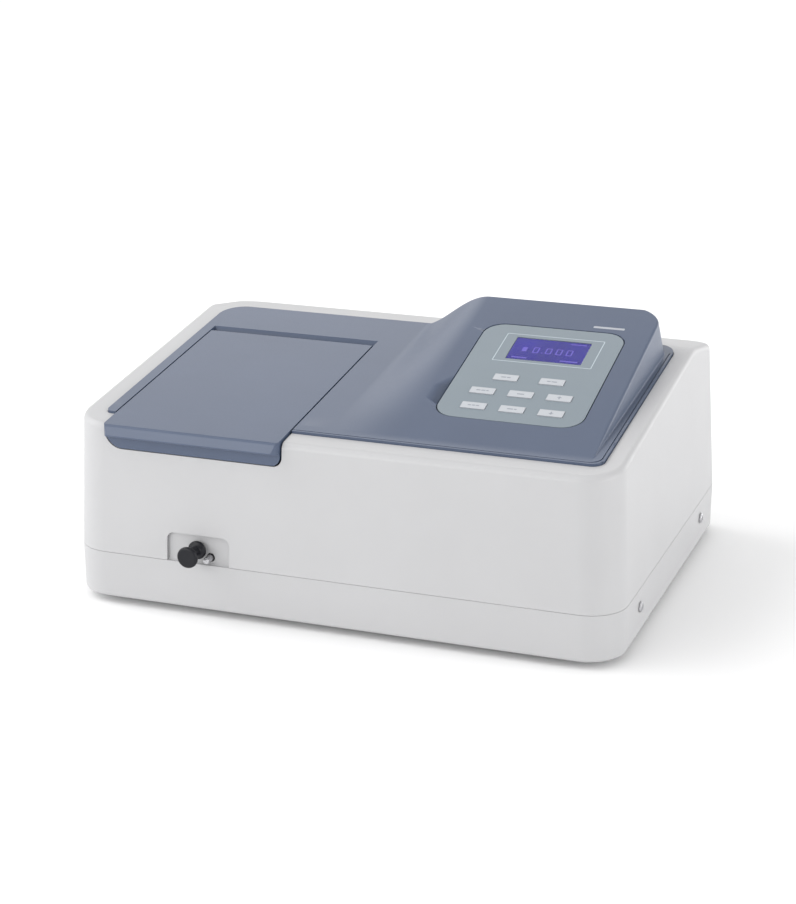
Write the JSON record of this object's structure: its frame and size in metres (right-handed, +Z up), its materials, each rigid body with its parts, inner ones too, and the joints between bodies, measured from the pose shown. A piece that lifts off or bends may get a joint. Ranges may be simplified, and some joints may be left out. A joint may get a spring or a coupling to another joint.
{
  "type": "spectrophotometer",
  "caption": "Bench spectrophotometer: drafted two-part casing, hinged sample lid, pull-rod cell changer, and a raised pod with display and keys on a sloping deck.",
  "frame": {"origin": "centre of the overall footprint, on the surface that the feet stand on", "axes": "+X to the right seen from the front, +Y to the rear, +Z up"},
  "size_m": [0.4748, 0.385, 0.2205],
  "materials": {
    "white_housing": "fine white texture, semi-matt",
    "blue_grey_panel": "blue-grey, fine grain, satin",
    "keypad_film": "printed film, matt",
    "key_white": "white, satin",
    "display_indigo": "indigo liquid-crystal glass behind a lens",
    "clear_glass": "clear, polished",
    "black_plastic": "black, semi-gloss",
    "black_anodised": "black anodised, matt",
    "black_rubber": "black, matt",
    "polished_steel": "bright plated steel",
    "zinc_plated_steel": "zinc plated",
    "cast_aluminium": "cast, as machined",
    "mirror_coating": "front-surface coated glass",
    "circuit_board": "green solder mask"
  },
  "bodies": {
    "casing": {"base_tray": "white_housing", "beam_lens": "clear_glass", "collimating_mirror": "mirror_coating", "condenser_lens": "clear_glass", "data_port": "zinc_plated_steel", "deck_panel": "blue_grey_panel", "detector_housing": "cast_aluminium", "display_module": "display_indigo", "display_window": "clear_glass", "entrance_slit": "black_anodised", "exit_slit": "black_anodised", "fan_frame": "black_plastic", "filter_motor": "zinc_plated_steel", "focusing_mirror": "mirror_coating", "fold_mirror": "mirror_coating", "foot_front_left": "black_rubber", "foot_front_right": "black_rubber", "foot_rear_left": "black_rubber", "foot_rear_right": "black_rubber", "fuse_holder": "black_plastic", "grating_motor": "zinc_plated_steel", "guide_rod": "polished_steel", "hinge_pin": "polished_steel", "keypad_board": "circuit_board", "keypad_overlay": "keypad_film", "lamp_house": "cast_aluminium", "main_board": "circuit_board", "mains_inlet": "black_plastic", "mono_cover": "cast_aluminium", "mono_housing": "cast_aluminium", "optical_bench": "cast_aluminium", "photodiode": "zinc_plated_steel", "power_supply": "cast_aluminium", "rear_panel": "zinc_plated_steel", "rod_bushing": "zinc_plated_steel", "sample_well": "black_anodised", "side_screw_front_left": "polished_steel", "side_screw_front_right": "polished_steel", "side_screw_rear_left": "polished_steel", "side_screw_rear_right": "polished_steel", "switch_bezel": "black_plastic", "tungsten_lamp": "clear_glass", "upper_housing": "white_housing"},
    "lid": {"lid": "blue_grey_panel"},
    "changer": {"pull_knob": "black_plastic", "pull_rod": "polished_steel", "cell_carriage": "black_anodised"},
    "key_1": {"key_1": "key_white"},
    "key_2": {"key_2": "key_white"},
    "key_3": {"key_3": "key_white"},
    "key_4": {"key_4": "key_white"},
    "key_5": {"key_5": "key_white"},
    "key_6": {"key_6": "key_white"},
    "key_7": {"key_7": "key_white"},
    "key_8": {"key_8": "key_white"},
    "power_rocker": {"power_rocker": "black_plastic"},
    "fan_rotor": {"fan_rotor": "black_plastic"},
    "filter_wheel": {"filter_wheel": "black_anodised"},
    "grating": {"grating_table": "cast_aluminium", "grating": "mirror_coating"}
  },
  "joints": [
    {"name": "lid_hinge", "type": "hinge", "parent": "casing", "child": "lid", "pos_m": [-0.1235, 0.0455, 0.177], "axis": [-1, 0, 0], "range_deg": [0, 100]},
    {"name": "changer_slide", "type": "slide", "parent": "casing", "child": "changer", "axis": [0, -1, 0], "range_m": [0, 0.0465]},
    {"name": "key_1_press", "type": "slide", "parent": "casing", "child": "key_1", "axis": [0, 0.2419, -0.9703], "range_m": [0, 0.0005], "stiffness_N_per_m": 1500, "springref_m": -0.0005},
    {"name": "key_2_press", "type": "slide", "parent": "casing", "child": "key_2", "axis": [0, 0.2419, -0.9703], "range_m": [0, 0.0005], "stiffness_N_per_m": 1500, "springref_m": -0.0005},
    {"name": "key_3_press", "type": "slide", "parent": "casing", "child": "key_3", "axis": [0, 0.2419, -0.9703], "range_m": [0, 0.0005], "stiffness_N_per_m": 1500, "springref_m": -0.0005},
    {"name": "key_4_press", "type": "slide", "parent": "casing", "child": "key_4", "axis": [0, 0.2419, -0.9703], "range_m": [0, 0.0005], "stiffness_N_per_m": 1500, "springref_m": -0.0005},
    {"name": "key_5_press", "type": "slide", "parent": "casing", "child": "key_5", "axis": [0, 0.2419, -0.9703], "range_m": [0, 0.0005], "stiffness_N_per_m": 1500, "springref_m": -0.0005},
    {"name": "key_6_press", "type": "slide", "parent": "casing", "child": "key_6", "axis": [0, 0.2419, -0.9703], "range_m": [0, 0.0005], "stiffness_N_per_m": 1500, "springref_m": -0.0005},
    {"name": "key_7_press", "type": "slide", "parent": "casing", "child": "key_7", "axis": [0, 0.2419, -0.9703], "range_m": [0, 0.0005], "stiffness_N_per_m": 1500, "springref_m": -0.0005},
    {"name": "key_8_press", "type": "slide", "parent": "casing", "child": "key_8", "axis": [0, 0.2419, -0.9703], "range_m": [0, 0.0005], "stiffness_N_per_m": 1500, "springref_m": -0.0005},
    {"name": "power_rocker_tilt", "type": "hinge", "parent": "casing", "child": "power_rocker", "pos_m": [0.139, 0.182, 0.075], "axis": [-1, 0, 0], "range_deg": [0, 14]},
    {"name": "fan_spin", "type": "hinge", "parent": "casing", "child": "fan_rotor", "pos_m": [0.078, 0.1699, 0.093], "axis": [0, 1, 0], "continuous": true},
    {"name": "filter_wheel_turn", "type": "hinge", "parent": "casing", "child": "filter_wheel", "pos_m": [0.118, 0.0315, 0.081], "axis": [1, 0, 0], "continuous": true},
    {"name": "grating_turn", "type": "hinge", "parent": "casing", "child": "grating", "pos_m": [-0.016, -0.0215, 0.05], "axis": [0, 0, 1], "range_deg": [-20, 25]}
  ]
}
